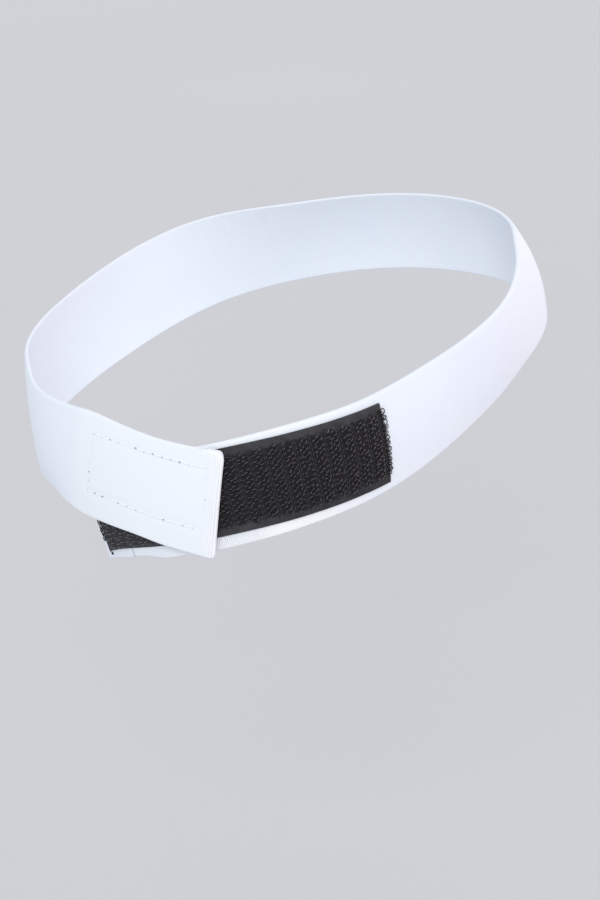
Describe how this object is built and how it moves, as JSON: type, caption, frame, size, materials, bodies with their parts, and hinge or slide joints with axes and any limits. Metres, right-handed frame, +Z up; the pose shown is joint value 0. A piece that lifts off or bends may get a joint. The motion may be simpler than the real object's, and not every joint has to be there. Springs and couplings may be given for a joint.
{
  "type": "elastic wig grip band",
  "caption": "Flat white elastic strip closed to a head-sized loop, its ends crossing at the back and held by a black hook tape under a stitched tab, to grip a wig or cap.",
  "frame": {"origin": "the middle of the head that the band is worn on, near the band's mid height", "axes": "+Z up the head, -Y towards the forehead, +Y towards the back of the head, -X towards the wearer's right"},
  "size_m": [0.1641, 0.2106, 0.0934],
  "materials": {
    "elastic": "white woven elastic with fine ribs across its width",
    "hook_tape": "black nylon hook tape, slightly shiny hooks",
    "loop_tape": "white napped loop tape"
  },
  "bodies": {
    "root": {"elastic_band": "elastic", "hook_patch": "hook_tape", "loop_patch": "loop_tape"}
  },
  "joints": []
}
